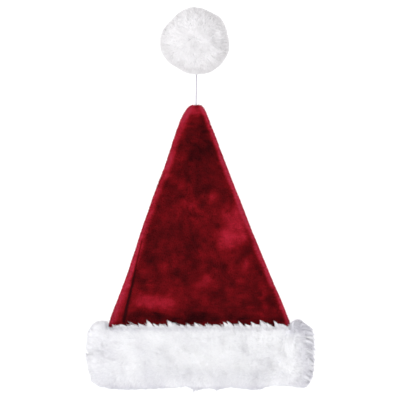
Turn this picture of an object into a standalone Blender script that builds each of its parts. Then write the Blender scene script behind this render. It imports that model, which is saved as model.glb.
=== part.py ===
"""A red plush santa hat with a deep fur cuff and a pompom on a cord, lying on its back on the floor.

Lengths are in metres. The floor is z = 0, the mouth faces -Y, the tip points to +Y and the photo looks down.
"""

import math
import random
from collections import namedtuple

import bmesh
import bpy
import numpy as np
from mathutils import Vector

# Driving sizes
CUFF_WIDTH = 0.313  # across the flattened cuff, pile included
BAND_HEIGHT = 0.076  # knitted ground of the fur band, along the hat
FUR_PILE = 0.0165  # pile on the top and the sides of the cuff
FUR_UNDER = 0.0088  # pile pressed flat under the cuff
EDGE_PILE = 0.008  # pile past the band's two edges
BACKING_WALL = 0.002
PLUSH_WALL = 0.003
MOUTH_GAPE = 0.045  # clear height of the mouth as it lies
HEM_TAPER = 0.0115  # how far each side of the crown has drawn in at the band's upper edge
LIP_REACH = 0.0025  # pile rolled past the hem into the mouth
CROWN_REACH = 0.304  # from the band's upper edge to the tip
SEAM_GROOVE = 0.0024
SEAM_LIP = 0.0026
SEAM_ALLOWANCE = 0.002  # turned edges on the inner side
SEAM_SLANT = 0.5  # how much of the way inwards the groove goes sideways
SEAM_LEFT = 0.5  # share of the groove's depth that is left at the tip
TIP_ROUND = 0.0006  # how far the tip's edge lies behind its middle
EYE_ROOM = 0.0005  # room round the cord in the eye of the tip
POMPOM_DIAMETER = 0.0925
POMPOM_SIDE = -0.0082
HEAD_SHARE = 0.78  # solid head of the pompom, as a share of its radius
SETTLE = 0.955  # the pompom sinks a little into its own pile
CORD_REACH = 0.0412  # cord that shows between the tip and the pompom
CORD_DIAMETER = 0.002
KNOT_DIAMETER = 0.0048
SOCKET_DEPTH = 0.016  # hole in the pompom that takes the cord's end
SOCKET_FLARE = 0.0012  # how far the socket's mouth opens past the cord
FIT = 0.0004  # gap between pieces that touch

# Shape of the flattened section
TOP_ROUND = 2.3  # exponent of the domed upper half
BED_ROUND = 4.0  # exponent of the lower half, which the floor flattens
BED_PRESS = 1.12
WAIST = 0.45  # height of the widest level
COLUMNS = 41  # cells round a section
SAMPLES = 721
DENT_FADE = 0.08  # share of the crown over which its dents fade out towards the cuff
HEAD_DETAIL = 3  # subdivisions of the pompom's head
KNOT_DETAIL = 2
SOCKET_SIDES = 10
ROUTE_STEPS = 12  # steps of the smooth curve between two points of the cord's route

# Places that follow from the sizes
band_skin = BACKING_WALL + 2 * FIT
hem_width = CUFF_WIDTH - 2 * (FUR_PILE + band_skin)
hem_low = FUR_UNDER + band_skin
hem_high = hem_low + 2 * PLUSH_WALL + MOUTH_GAPE
crown_width = hem_width - 2 * HEM_TAPER
whole_length = EDGE_PILE + BAND_HEIGHT + CROWN_REACH + CORD_REACH + POMPOM_DIAMETER
band_low = EDGE_PILE - whole_length / 2
band_top = band_low + BAND_HEIGHT
tip = band_top + CROWN_REACH
pompom_radius = POMPOM_DIAMETER / 2
pompom_centre = Vector((POMPOM_SIDE, tip + CORD_REACH + pompom_radius, SETTLE * pompom_radius))

# The crown from the band's upper edge (0) to the tip (1): width and sway as shares of the crown's width,
# top as a share of the hem's height, lift as a share of the hem's rest, seam as a share of the girth
Section = namedtuple("Section", "along width sway top lift seam")
CROWN_SECTIONS = (
    Section(0.000, 1.000, -0.004, 0.955, 1.00, 0.051),
    Section(0.040, 0.970, -0.005, 0.930, 0.95, 0.051),
    Section(0.110, 0.904, -0.007, 0.880, 0.40, 0.049),
    Section(0.210, 0.800, -0.009, 0.820, 0.00, 0.045),
    Section(0.393, 0.635, -0.019, 0.705, 0.00, 0.034),
    Section(0.572, 0.476, -0.024, 0.585, 0.00, 0.010),
    Section(0.680, 0.376, -0.027, 0.500, 0.00, -0.005),
    Section(0.751, 0.309, -0.027, 0.440, 0.00, -0.010),
    Section(0.859, 0.218, -0.030, 0.350, 0.00, -0.015),
    Section(0.930, 0.152, -0.032, 0.292, 0.00, -0.015),
    Section(0.966, 0.116, -0.029, 0.262, 0.02, -0.015),
    Section(0.988, 0.086, -0.026, 0.236, 0.06, -0.015),
    Section(1.000, 0.062, -0.024, 0.200, 0.12, -0.015),
)
CROWN_STATIONS = (
    0.0, 0.033, 0.08, 0.14, 0.21, 0.3, 0.39, 0.48, 0.57, 0.66, 0.74, 0.81, 0.87, 0.92, 0.955, 0.98, 1.0,
)
HEM_STATIONS = (1.0, 0.75, 0.5, 0.25)  # shares of the band's height, from its lower edge up
HEM_EASE = 0.8  # share of the band's height over which the crown meets it

# Soft dents and rises of the crown's upper side: along and reach as shares of the crown's reach,
# across as a share of the half width, depth as a share of the hem's height, negative for a dent
Dent = namedtuple("Dent", "along across reach depth")
CROWN_DENTS = (
    Dent(0.20, -0.55, 0.10, 0.035),
    Dent(0.24, 0.10, 0.16, -0.060),
    Dent(0.42, 0.55, 0.13, 0.055),
    Dent(0.48, -0.15, 0.12, -0.040),
    Dent(0.66, 0.20, 0.08, 0.035),
    Dent(0.80, -0.20, 0.07, -0.030),
)

# Pile round the band: edge is a share of the edge pile past the band, inside of the band's height,
# out of the matted root, and lock is the length of the locks below this row as a share of the pile
PileRow = namedtuple("PileRow", "edge inside out lock")
PILE_ROWS = (
    PileRow(0.30, 0.00, 0.00, 0.36),
    PileRow(0.55, 0.00, 0.55, 0.52),
    PileRow(0.00, 0.07, 1.00, 0.65),
    PileRow(0.00, 0.29, 1.00, 0.66),
    PileRow(0.00, 0.50, 1.00, 0.66),
    PileRow(0.00, 0.71, 1.00, 0.65),
    PileRow(0.00, 0.93, 1.00, 0.50),
    PileRow(-0.50, 1.00, 0.50, 0.16),
)
PILE_ROOT = 0.34  # matted root that the locks stand on, as a share of the pile
PRESSED_ROOT = 0.3  # height of the root over the floor, as a share of the pile under the cuff
ROLL_ROWS = ((0.60, 0.0), (0.35, 1.0))  # roll past the hem: shares of the edge pile and of the lip
THROAT_FILL = 0.72  # how far the pile closes the room between the band and the crown
ROW_SHIFT = 0.5  # how far a row of locks is set off along the band, as a share of a lock's width
PILE_STRAY = 0.3  # how far the foot of a lock strays, as a share of its width
COMB_LEFT = (-0.35, 0.25)  # lean of the locks over most of the cuff, towards +X and +Y
COMB_RIGHT = (0.25, -0.45)  # and at its right end
COMB_TURN = (0.30, 0.45)  # where the one passes into the other, as shares of the cuff's width
LOCK_TAPER = 0.6
LOCK_SHOULDER = 0.6  # share of a lock's length at which it starts to come to a point
LOCK_LEAN = 0.26
LOCK_SPREAD = 0.24
CUFF_SEED = 5
POMPOM_SEED = 11
POMPOM_FLUFF = 1.06  # longest lock of the pompom, as a share of the pile that its size leaves

# Outline of the pompom from above: reach as a share of its radius at each turn, in degrees
Lump = namedtuple("Lump", "turn reach")
POMPOM_LUMPS = (
    Lump(-163, 1.035),
    Lump(-124, 0.945),
    Lump(-78, 1.010),
    Lump(-41, 1.055),
    Lump(-15, 1.050),
    Lump(10, 0.990),
    Lump(41, 1.010),
    Lump(60, 0.960),
    Lump(93, 0.990),
    Lump(139, 0.905),
    Lump(160, 0.980),
)

# The cord's route from the eye, chosen by hand: down to the floor, along it and up into the pompom
CORD_ROUTE = (
    (0.0000, -0.0030, 0.0000),
    (0.0000, 0.0000, 0.0000),
    (0.0000, 0.0032, -0.0002),
    (0.0001, 0.0068, -0.0012),
    (0.0002, 0.0108, -0.0029),
    (0.0003, 0.0150, -0.0045),
    (0.0004, 0.0195, -0.00545),
    (0.0005, 0.0245, -0.00575),
    (0.0006, 0.0300, -0.00580),
    (0.0006, 0.0355, -0.00580),
    (0.0005, 0.0410, -0.00580),
    (0.0002, 0.0465, -0.00575),
    (-0.0002, 0.0512, -0.00530),
    (-0.0005, 0.0545, -0.00380),
    (-0.0007, 0.0574, -0.00145),
    (-0.0008, 0.0599, 0.00175),
    (-0.0010, 0.0629, 0.00575),
    (-0.0012, 0.0659, 0.00975),
)


def read(table, name, at):
    """A column of a table at this place, on a smooth curve through its rows."""
    places = np.array([row[0] for row in table])
    values = np.array([getattr(row, name) for row in table])
    slopes = np.gradient(values, places)
    row = int(np.clip(np.searchsorted(places, at) - 1, 0, len(places) - 2))
    span = places[row + 1] - places[row]
    t = (at - places[row]) / span
    start = (1 + 2 * t) * (1 - t) ** 2 * values[row] + t * (1 - t) ** 2 * span * slopes[row]
    end = t * t * (3 - 2 * t) * values[row + 1] + t * t * (t - 1) * span * slopes[row + 1]
    return start + end


Form = namedtuple("Form", "y width low high sway seam")


def hem_form(y):
    """The straight stretch of cloth that the band sits on."""
    return Form(y, hem_width, hem_low, hem_high, 0.0, CROWN_SECTIONS[0].seam)


def crown_form(y):
    """The crown's outer size at this place along the hat."""
    share = (y - band_top) / CROWN_REACH
    if share >= 0:
        row = {name: read(CROWN_SECTIONS, name, share) for name in Section._fields[1:]}
        low = max(hem_low * row["lift"], 0.0)
        width, sway = crown_width * row["width"], crown_width * row["sway"]
        return Form(y, width, low, hem_high * row["top"], sway, row["seam"])
    eased = (1 - min((band_top - y) / (HEM_EASE * BAND_HEIGHT), 1)) ** 2
    first = CROWN_SECTIONS[0]
    return Form(
        y,
        hem_width - 2 * HEM_TAPER * eased,
        hem_low,
        hem_high * (1 - (1 - first.top) * eased),
        crown_width * first.sway * eased,
        first.seam,
    )


def section_point(form, turn, grow, floor=0.0):
    """A point of the flattened section, grown outwards, no lower than this floor."""
    across, up = math.cos(turn), math.sin(turn)
    waist = form.low + WAIST * (form.high - form.low)
    if up >= 0:
        power, rise = 2 / TOP_ROUND, form.high - waist + grow
    else:
        power, rise = 2 / BED_ROUND, (waist - form.low + grow) * BED_PRESS
    x = form.sway + (form.width / 2 + grow) * math.copysign(abs(across) ** power, across)
    z = waist + rise * math.copysign(abs(up) ** power, up)
    return Vector((x, form.y, max(z, form.low - grow, floor)))


def column_turns(form, shift=0.0):
    """Turns of the columns, equal steps of cloth from the seam round, shifted by part of a step."""
    turns = np.linspace(math.pi, -math.pi, SAMPLES)
    points = np.array([section_point(form, turn, 0.0) for turn in turns])
    walked = np.concatenate([[0.0], np.cumsum(np.linalg.norm(np.diff(points, axis=0), axis=1))])
    shares = (form.seam + (np.arange(COLUMNS) + shift) / COLUMNS) % 1.0
    return np.interp(shares, walked / walked[-1], turns)


def dent_at(form, turn):
    """Height that the soft dents and rises add to the upper side."""
    total = 0.0
    upper = max(math.sin(turn), 0.0)
    across = math.cos(turn)
    share = (form.y - band_top) / CROWN_REACH
    for dent in CROWN_DENTS:
        reach = dent.reach * CROWN_REACH
        away_x = (across - dent.across) * form.width / 2
        away_y = (share - dent.along) * CROWN_REACH
        total += dent.depth * hem_high * math.exp(-(away_x**2 + away_y**2) / reach**2)
    fade = min(max(share / DENT_FADE, 0.0), 1.0)
    return total * upper * fade


def crown_ring(y, inset, back):
    """One ring of the crown, with the seam's groove between two lips, set back at the tip."""
    form = crown_form(y)
    ring = []
    for turn in column_turns(form):
        point = section_point(form, turn, -inset)
        point.z += dent_at(form, turn)
        point.y = min(y, tip - back)
        ring.append(point)
    seam, left, right = ring[0], ring[1] - ring[0], ring[-1] - ring[0]
    lips = [seam + side.normalized() * min(SEAM_LIP, side.length / 2) for side in (left, right)]
    inward = (sum(ring, Vector()) / len(ring) - seam) * Vector((SEAM_SLANT, 0, 1))
    depth = (SEAM_ALLOWANCE if inset else SEAM_GROOVE) * min(form.width / crown_width + SEAM_LEFT, 1)
    return [seam + inward.normalized() * depth, lips[0], *ring[1:], lips[1]]


def eye():
    """Middle of the hole in the tip."""
    end = crown_form(tip)
    return Vector((end.sway, tip, (end.low + end.high) / 2))


def eye_ring(back, count):
    """The round hole at the tip, its points turned like the section's."""
    start = column_turns(crown_form(tip))[0]
    radius = CORD_DIAMETER / 2 + EYE_ROOM
    middle = eye() - Vector((0, back, 0))
    turns = np.linspace(start, start - 2 * math.pi, count, endpoint=False)
    return [middle + Vector((math.cos(turn), 0, math.sin(turn))) * radius for turn in turns]


def loft(bm, rings):
    """A closed wall through rings of as many points each, the last joined to the first."""
    first = bmesh.ops.create_circle(bm, segments=len(rings[0]), radius=1)["verts"]
    loops = [first]
    for _ in rings[1:]:
        loops.append([bm.verts.new() for _ in first])
    for loop, ring in zip(loops, rings):
        for vert, place in zip(loop, ring):
            vert.co = place
    rows = []
    for loop, after in zip(loops, loops[1:] + loops[:1]):
        pairs = list(zip(loop, after))
        turned = pairs[1:] + pairs[:1]
        rows.append([bm.faces.new((a, b, d, c)) for (a, b), (c, d) in zip(pairs, turned)])
    bmesh.ops.recalc_face_normals(bm, faces=bm.faces)
    return rows


def raise_locks(bm, faces, reach, lean, rng):
    """Turns each face into a lock of pile, which narrows to a point."""
    bm.normal_update()
    made = bmesh.ops.extrude_discrete_faces(bm, faces=faces)["faces"]
    for face in made:
        face.normal_update()
        centre = face.calc_center_median()
        length = reach(centre) * rng.uniform(1 - LOCK_SPREAD, 1.0)
        aim = face.normal + lean(centre) + Vector([rng.uniform(-LOCK_LEAN, LOCK_LEAN) for _ in range(3)])
        for vert in face.verts:
            vert.co = centre + (vert.co - centre) * LOCK_TAPER + aim * length * LOCK_SHOULDER
        point = bmesh.ops.poke(bm, faces=[face])["verts"][0]
        point.co = centre + aim * length
    for vert in bm.verts:
        vert.co.z = max(vert.co.z, 0.0)


def material(name, colour, roughness):
    made = bpy.data.materials.new(name)
    made.use_nodes = True
    shader = made.node_tree.nodes["Principled BSDF"]
    shader.inputs["Base Color"].default_value = (*colour, 1)
    shader.inputs["Roughness"].default_value = roughness
    shader.inputs["Metallic"].default_value = 0
    return made


def piece(name, bm, finish, home):
    """An object of this mesh in its collection."""
    mesh = bpy.data.meshes.new(name)
    bm.to_mesh(mesh)
    bm.free()
    mesh.shade_smooth()
    made = bpy.data.objects.new(name, mesh)
    home.objects.link(made)
    if finish:
        mesh.materials.append(finish)
    return made


def make_crown(home, finish):
    """The plush cone: outer side from hem to tip, the eye, then the inner side back to the hem."""
    places = [band_top - share * BAND_HEIGHT for share in HEM_STATIONS]
    places += [band_top + share * CROWN_REACH for share in CROWN_STATIONS]
    outer = [crown_ring(y, 0.0, TIP_ROUND) for y in places]
    inner = [crown_ring(y, PLUSH_WALL, PLUSH_WALL) for y in places]
    count = len(outer[0])
    bm = bmesh.new()
    loft(bm, [*outer, eye_ring(0, count), eye_ring(PLUSH_WALL, count), *reversed(inner)])
    return piece("crown", bm, finish, home)


def band_ring(y, grow, shift=0.0):
    """A ring round the band, no lower than the pressed root of the pile."""
    form = hem_form(y)
    floor = PRESSED_ROOT * FUR_UNDER
    return [section_point(form, turn, grow, floor) for turn in column_turns(form, shift)]


def make_backing(home, finish):
    """The knitted ground of the fur band, a straight band with the hem inside it."""
    bm = bmesh.new()
    corners = ((band_low, BACKING_WALL), (band_top, BACKING_WALL), (band_top, 0), (band_low, 0))
    loft(bm, [band_ring(y, FIT + wall) for y, wall in corners])
    return piece("cuff_backing", bm, finish, home)


def comb(centre):
    """Which way the pile leans: up to the left, and down to the right at the cuff's right end."""
    start, end = COMB_TURN
    right = min(max((centre.x / CUFF_WIDTH - start) / (end - start), 0.0), 1.0)
    return Vector((*COMB_LEFT, 0)).lerp(Vector((*COMB_RIGHT, 0)), right)


def throat_ring(y):
    """A ring that reaches in from the band towards the crown, where the two stand apart."""
    band, crown = hem_form(y), crown_form(y)
    ring = []
    for turn in column_turns(band):
        outer, inner = section_point(band, turn, band_skin), section_point(crown, turn, 2 * FIT)
        ring.append(outer.lerp(inner, THROAT_FILL))
    return ring


def stray(ring, step, rng):
    """The ring with each foot moved a little along it and along the hat."""
    strayed = []
    for point, after in zip(ring, ring[1:] + ring[:1]):
        along = rng.uniform(-PILE_STRAY, PILE_STRAY) * step
        strayed.append(point.lerp(after, rng.uniform(0, PILE_STRAY)) + Vector((0, along, 0)))
    return strayed


def make_fur(home, finish):
    """The pile in locks on a matted root, rolled round the lower edge of the band and the hem."""
    rng = random.Random(CUFF_SEED)
    rings = []
    for row in PILE_ROWS:
        y = band_top + row.edge * EDGE_PILE - row.inside * BAND_HEIGHT
        grow = band_skin + row.out * PILE_ROOT * FUR_PILE
        foot = band_ring(y, grow, rng.random() * ROW_SHIFT) if row.out else throat_ring(y)
        rings.append(stray(foot, BAND_HEIGHT / len(PILE_ROWS), rng) if row.out == 1 else foot)
    for edge, lip in ROLL_ROWS:
        rings.append(band_ring(band_low - edge * EDGE_PILE, -PLUSH_WALL - lip * LIP_REACH))
    rings.append(band_ring(band_low - FIT, -PLUSH_WALL - LIP_REACH / 2))
    rings.append(band_ring(band_low - FIT, band_skin))
    rings.append(band_ring(band_top + FIT, band_skin))
    rings.append(throat_ring(band_top + FIT))
    bm = bmesh.new()
    cells = loft(bm, rings)
    for row, faces in zip(PILE_ROWS, cells):
        raise_locks(bm, faces, lambda centre, share=row.lock: share * FUR_PILE, comb, rng)
    return piece("cuff_fur", bm, finish, home)


def lump_at(direction):
    """How far the pompom reaches this way, as a share of its radius."""
    turn = math.degrees(math.atan2(direction.y, direction.x))
    turns = [lump.turn for lump in POMPOM_LUMPS]
    reaches = [lump.reach for lump in POMPOM_LUMPS]
    outline = np.interp(turn, turns, reaches, period=360)
    level = math.hypot(direction.x, direction.y) ** 2
    return 1 + (outline - 1) * level


def make_pompom(home, cutters, finish):
    """A round head with its locks, flattened on the floor, and a socket that takes the cord's end."""
    bm = bmesh.new()
    bmesh.ops.create_icosphere(bm, subdivisions=HEAD_DETAIL, radius=1)
    for vert in bm.verts:
        away = vert.co.normalized()
        vert.co = pompom_centre + away * pompom_radius * HEAD_SHARE * lump_at(away)

    def reach(centre):
        away = (centre - pompom_centre).normalized()
        return pompom_radius * (1 - HEAD_SHARE) * lump_at(away) * POMPOM_FLUFF

    raise_locks(bm, list(bm.faces), reach, lambda centre: Vector(), random.Random(POMPOM_SEED))
    ball = piece("pompom", bm, finish, home)
    cut = ball.modifiers.new("cord socket", "BOOLEAN")
    cut.operation = "DIFFERENCE"
    cut.object = make_socket(cutters)
    return ball


def make_socket(cutters):
    """The cutter of the hole round the cord's end, wider towards its mouth."""
    points = cord_points()
    along = (points[-1] - points[-3]).normalized()
    deep = points[-1] + along * FIT
    bm = bmesh.new()
    made = bmesh.ops.create_cone(
        bm,
        cap_ends=True,
        segments=SOCKET_SIDES,
        radius1=CORD_DIAMETER / 2 + SOCKET_FLARE,
        radius2=CORD_DIAMETER / 2 + FIT,
        depth=SOCKET_DEPTH,
    )
    turned = along.to_track_quat("Z", "Y").to_matrix().to_4x4()
    turned.translation = deep - along * SOCKET_DEPTH / 2
    bmesh.ops.transform(bm, matrix=turned, verts=made["verts"])
    cutter = piece("cord_socket", bm, None, cutters)
    cutter.hide_render = True
    cutter.display_type = "WIRE"
    return cutter


def cord_points():
    """Points every two diameters on a smooth curve through the route."""
    route = [eye() + Vector(step) for step in CORD_ROUTE]
    ends = [2 * route[0] - route[1], *route, 2 * route[-1] - route[-2]]
    fine = []
    for before, start, end, after in zip(ends, ends[1:], ends[2:], ends[3:]):
        for t in np.linspace(0, 1, ROUTE_STEPS, endpoint=False):
            fine.append(
                0.5 * (2 * start + (end - before) * t + (2 * before - 5 * start + 4 * end - after) * t**2
                       + (3 * start - before - 3 * end + after) * t**3)
            )
    fine.append(route[-1])
    fine = np.array(fine)
    walked = np.concatenate([[0.0], np.cumsum(np.linalg.norm(np.diff(fine, axis=0), axis=1))])
    count = max(round(walked[-1] / (2 * CORD_DIAMETER)), 2)
    steps = np.linspace(0, walked[-1], count + 1)
    return [Vector([np.interp(step, walked, fine[:, axis]) for axis in range(3)]) for step in steps]


def make_cord(home, finish):
    """The thin cord, a tube with closed ends."""
    curve = bpy.data.curves.new("pompom_cord", "CURVE")
    curve.dimensions = "3D"
    curve.bevel_depth = CORD_DIAMETER / 2
    curve.bevel_resolution = 2
    curve.use_fill_caps = True
    points = cord_points()
    spline = curve.splines.new("POLY")
    spline.points.add(len(points) - 1)
    for target, place in zip(spline.points, points):
        target.co = (*place, 1)
    made = bpy.data.objects.new("pompom_cord", curve)
    home.objects.link(made)
    curve.materials.append(finish)
    return made


def make_knot(home, finish):
    """The knot behind the eye, one plain ball."""
    bm = bmesh.new()
    made = bmesh.ops.create_icosphere(bm, subdivisions=KNOT_DETAIL, radius=KNOT_DIAMETER / 2)
    back = PLUSH_WALL + FIT + KNOT_DIAMETER / 2
    bmesh.ops.translate(bm, vec=eye() - Vector((0, back, 0)), verts=made["verts"])
    return piece("cord_knot", bm, finish, home)


def main():
    for old in list(bpy.data.objects):
        bpy.data.objects.remove(old, do_unlink=True)
    home = bpy.data.collections.new("santa hat")
    cutters = bpy.data.collections.new("cutters")
    for group in (home, cutters):
        bpy.context.scene.collection.children.link(group)
    plush = material("red plush", (0.13, 0.004, 0.008), 0.8)
    pile = material("white fur", (0.86, 0.86, 0.87), 0.9)
    knit = material("white knit", (0.78, 0.78, 0.78), 0.9)
    thread = material("pale cord", (0.80, 0.79, 0.84), 0.7)
    make_crown(home, plush)
    make_backing(home, knit)
    make_fur(home, pile)
    make_pompom(home, cutters, pile)
    make_cord(home, thread)
    make_knot(home, thread)


main()
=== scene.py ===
"""Santa hat lying on its back: the finish of every surface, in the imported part's frame. Metres, +Z up."""
import math
from collections import namedtuple

import bmesh
import bpy
import numpy as np
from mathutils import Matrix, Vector, kdtree, noise
from mathutils.bvhtree import BVHTree


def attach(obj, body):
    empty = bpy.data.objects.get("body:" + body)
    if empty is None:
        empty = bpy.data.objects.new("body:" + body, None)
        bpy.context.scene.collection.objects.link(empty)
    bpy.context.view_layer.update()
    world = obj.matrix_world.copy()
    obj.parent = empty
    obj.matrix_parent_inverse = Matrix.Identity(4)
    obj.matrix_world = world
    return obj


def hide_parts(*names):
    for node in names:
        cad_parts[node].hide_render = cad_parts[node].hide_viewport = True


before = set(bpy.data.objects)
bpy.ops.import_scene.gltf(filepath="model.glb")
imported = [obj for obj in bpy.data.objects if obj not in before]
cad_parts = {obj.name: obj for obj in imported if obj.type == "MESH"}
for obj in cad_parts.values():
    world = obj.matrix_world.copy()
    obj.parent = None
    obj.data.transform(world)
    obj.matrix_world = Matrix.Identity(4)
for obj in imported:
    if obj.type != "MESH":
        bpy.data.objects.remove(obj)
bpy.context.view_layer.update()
noise.seed_set(4)

# The photograph's frame, seen from straight above
PHOTO_SIDE = 400  # pixels
PIXEL = 0.00136  # what one pixel covers on the hat
VIEW_CENTRE = (-0.00068, -0.00204)
CAMERA_HEIGHT = 8.0
SHARP_LEVEL = 0.04  # the height above the floor at which the scale is true

# The floor and the light
FLOOR_SIDE = 12.0
FLOOR_GLOW = 0.85
SKY = (2.04, 1.84)  # its strength on the left and on the right
SKY_FALL = (0.15, 1.42)  # its share of that at the horizon and overhead
KEY_PLACE = (-1.9, 0.2, 1.5)
KEY_SIDE = 2.2
KEY_POWER = 5.0

# The cord, as in the part: where it leaves the tip, and its route from there
EYE = (-0.00603, 0.12715, 0.00696)
CORD_DIAMETER = 0.002
CORD_PLIES = 3
CORD_TWIST = 0.0065  # one turn of a ply
CORD_STEP = 0.0005
PLY_SWELL = 1.35  # how much thicker its plies are than bare rods that would fill it
CORD_ROUTE = (
    (0.0, -0.003, 0.0),
    (0.0, 0.0, 0.0),
    (0.0, 0.0032, -0.0002),
    (0.0001, 0.0068, -0.0012),
    (0.0002, 0.0108, -0.0029),
    (0.0003, 0.015, -0.0045),
    (0.0004, 0.0195, -0.00545),
    (0.0005, 0.0245, -0.00575),
    (0.0006, 0.03, -0.0058),
    (0.0006, 0.0355, -0.0058),
    (0.0005, 0.041, -0.0058),
    (0.0002, 0.0465, -0.00575),
    (-0.0002, 0.0512, -0.0053),
    (-0.0005, 0.0545, -0.0038),
    (-0.0007, 0.0574, -0.00145),
    (-0.0008, 0.0599, 0.00175),
    (-0.001, 0.0629, 0.00575),
    (-0.0012, 0.0659, 0.00975),
)

WELD = 1e-6
# The map that holds each ribbon's tone and height: its margin and how far apart a ribbon's two edges lie
BAKE_MAP = "OFBake"
MAP_MARGIN = 0.01
MAP_SPREAD = 0.004

# The plush of the crown
PLUSH_LEVELS = 2
PLUSH_PILE = 0.0022
PLUSH_BLADE = 0.0006
PLUSH_BLADES = 150000
PLUSH_SEED = 3
PLUSH_TONE = 0.30  # how light its pile is where nothing crushed it
TONE_LIMITS = (0.02, 0.98)
TONE_STRAY = 0.08  # how far single blades and strands differ from it
CROWN_SIGHT = 0.3  # faces that look at another wall nearer than this carry no plush
UNDERSIDE_SHARE = 0.15  # how dense the pile is where the crown rests on the floor
SEAM_SHARE = 0.05  # and in the seam
SEAM_BARE = 0.7  # how much of the seam's width is that bare
NAP = (0.1, -0.55, 0.0)  # which way the pile leans
NAP_WAVES = (30, 45, 30)
NAP_STRAY = 0.35  # how far each blade turns away from it
BLADE_LENGTHS = (0.75, 1.15)
BLADE_RISE = 0.8  # how upright they stand
BLADE_ROOT = 0.0004  # how deep a blade stands in its ground
BLADE_TURN = 0.4  # how far its flat side turns
BLADE_GAP = 0.0002  # how far from the floor its point stays
# The seam's line from above, from the cuff up to where it turns round the edge
SEAM = ((-0.1047, -0.1652), (-0.0993, -0.1435), (-0.0945, -0.1244), (-0.0864, -0.085), (-0.0796, -0.0564))
SEAM_WIDTH = 0.0017
SEAM_SPAN = (-0.165, -0.06)  # from the cuff up, over which it narrows
SEAM_TAPER = (1.25, 0.6)  # its share of the width at the cuff, and what it loses by the end
SEAM_DEPTH = 0.6  # how much darker it is
STRIP_TONE = 0.16  # how much lighter the strip to its left is
STRIP_SPAN = (-0.032, -0.012, -0.003, 0.0)  # where that strip starts, is lightest and ends
# Painted highlight along each folded edge, where the pile stands open and grazing sheen lights it: how wide
# it is, and how much lighter the pile is painted there
LEFT_FOLD_HIGHLIGHT = (0.013, 0.56)
RIGHT_FOLD_HIGHLIGHT = (0.0095, 0.75)
FOLD_HIGHLIGHT_CORE = 0.3  # the share of that width that is lightest
# Mottling of the pile: how many waves in a metre across and along the hat, and how deep
MOTTLING = ((34, 60, 0.16), (110, 150, 0.15), (95, 330, 0.14))
GRAIN = (130, 450, 0.24)  # the same for the rows of its knitted ground, tuft by tuft
# How the edges of the crushed places wander: waves in a metre, and how far
STIRRED = ((90, 0.006), (260, 0.002))
CRUSH_EDGE = 1.4  # how sharply they end
# Crushed places of the pile, and along the cuff a painted shadow: x, y, half length, half width, turn in
# degrees, and how much lighter or darker
CRUSHED_AND_PAINTED_SHADOW = (
    (0.047, -0.037, 0.039, 0.021, 74, 0.37),
    (0.036, -0.054, 0.014, 0.010, 20, 0.20),
    (0.053, -0.012, 0.012, 0.008, 70, 0.14),
    (-0.008, -0.029, 0.006, 0.004, -30, 0.20),
    (-0.013, -0.039, 0.005, 0.004, 60, 0.16),
    (-0.018, -0.010, 0.011, 0.006, 10, 0.24),
    (-0.029, -0.019, 0.006, 0.004, 40, 0.14),
    (-0.003, -0.079, 0.007, 0.005, 10, 0.24),
    (-0.049, -0.093, 0.006, 0.005, 0, 0.12),
    (0.063, -0.087, 0.008, 0.005, 80, 0.20),
    (0.058, -0.111, 0.009, 0.005, 60, 0.24),
    (0.004, -0.115, 0.024, 0.006, 38, 0.14),
    (-0.063, -0.142, 0.034, 0.013, -4, 0.26),
    (-0.078, -0.139, 0.010, 0.007, 30, 0.18),
    (-0.046, -0.141, 0.009, 0.006, 0, 0.16),
    (0.087, -0.128, 0.007, 0.004, 60, 0.20),
    (0.079, -0.137, 0.006, 0.005, 20, 0.16),
    (0.090, -0.147, 0.006, 0.005, -30, 0.18),
    (0.079, -0.157, 0.006, 0.004, 0, 0.18),
    (0.016, 0.002, 0.009, 0.006, 70, 0.26),
    (-0.015, 0.006, 0.010, 0.005, 10, 0.16),
    (0.011, 0.028, 0.008, 0.005, 60, 0.14),
    (-0.024, 0.017, 0.006, 0.004, 70, 0.16),
    (-0.008, 0.121, 0.012, 0.008, 0, 0.38),
    (-0.015, 0.112, 0.010, 0.006, 50, 0.26),
    (0.000, 0.060, 0.050, 0.018, 90, -0.16),
    (-0.016, -0.064, 0.024, 0.014, 90, -0.14),
    (-0.062, -0.085, 0.014, 0.008, 20, -0.12),
    (0.054, -0.077, 0.012, 0.006, 70, -0.14),
    (0.103, -0.134, 0.012, 0.010, 60, -0.10),
    # A painted shadow: the dark band the cuff casts on the plush just above it
    (0.010, -0.161, 0.095, 0.007, 0, -0.20),
)

# The cuff's fur from above: its left and right edge at each y, and its hem and its upper edge at each x
CUFF_SIDES = (
    (-0.2564, -0.1380, 0.1462), (-0.2523, -0.1482, 0.1495), (-0.2482, -0.1503, 0.1512),
    (-0.2400, -0.1523, 0.1536), (-0.2278, -0.1550, 0.1550), (-0.2156, -0.1571, 0.1557),
    (-0.1992, -0.1564, 0.1557), (-0.1829, -0.1544, 0.1550), (-0.1748, -0.1503, 0.1486),
    (-0.1666, -0.1462, 0.1408),
)
CUFF_HEM = (
    (-0.150, -0.2515), (-0.137, -0.2561), (-0.123, -0.2592), (-0.096, -0.2592), (-0.069, -0.2588),
    (-0.055, -0.2577), (-0.028, -0.2561), (-0.018, -0.2553), (-0.013, -0.2582), (-0.006, -0.2600),
    (0.002, -0.2588), (0.010, -0.2568), (0.022, -0.2595), (0.030, -0.2578), (0.040, -0.2566),
    (0.054, -0.2577), (0.070, -0.2600), (0.084, -0.2590), (0.090, -0.2557), (0.101, -0.2546),
    (0.122, -0.2550), (0.131, -0.2566),
    (0.141, -0.2577), (0.146, -0.2561), (0.152, -0.2509), (0.155, -0.2428),
)
CUFF_TOP = (
    (-0.153, -0.1788), (-0.149, -0.1700), (-0.145, -0.1659), (-0.1270, -0.1654), (-0.1254, -0.1738),
    (0.1215, -0.1738), (0.1262, -0.1642), (0.135, -0.1639), (0.141, -0.1673), (0.148, -0.1734),
    (0.156, -0.1829),
)
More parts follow.
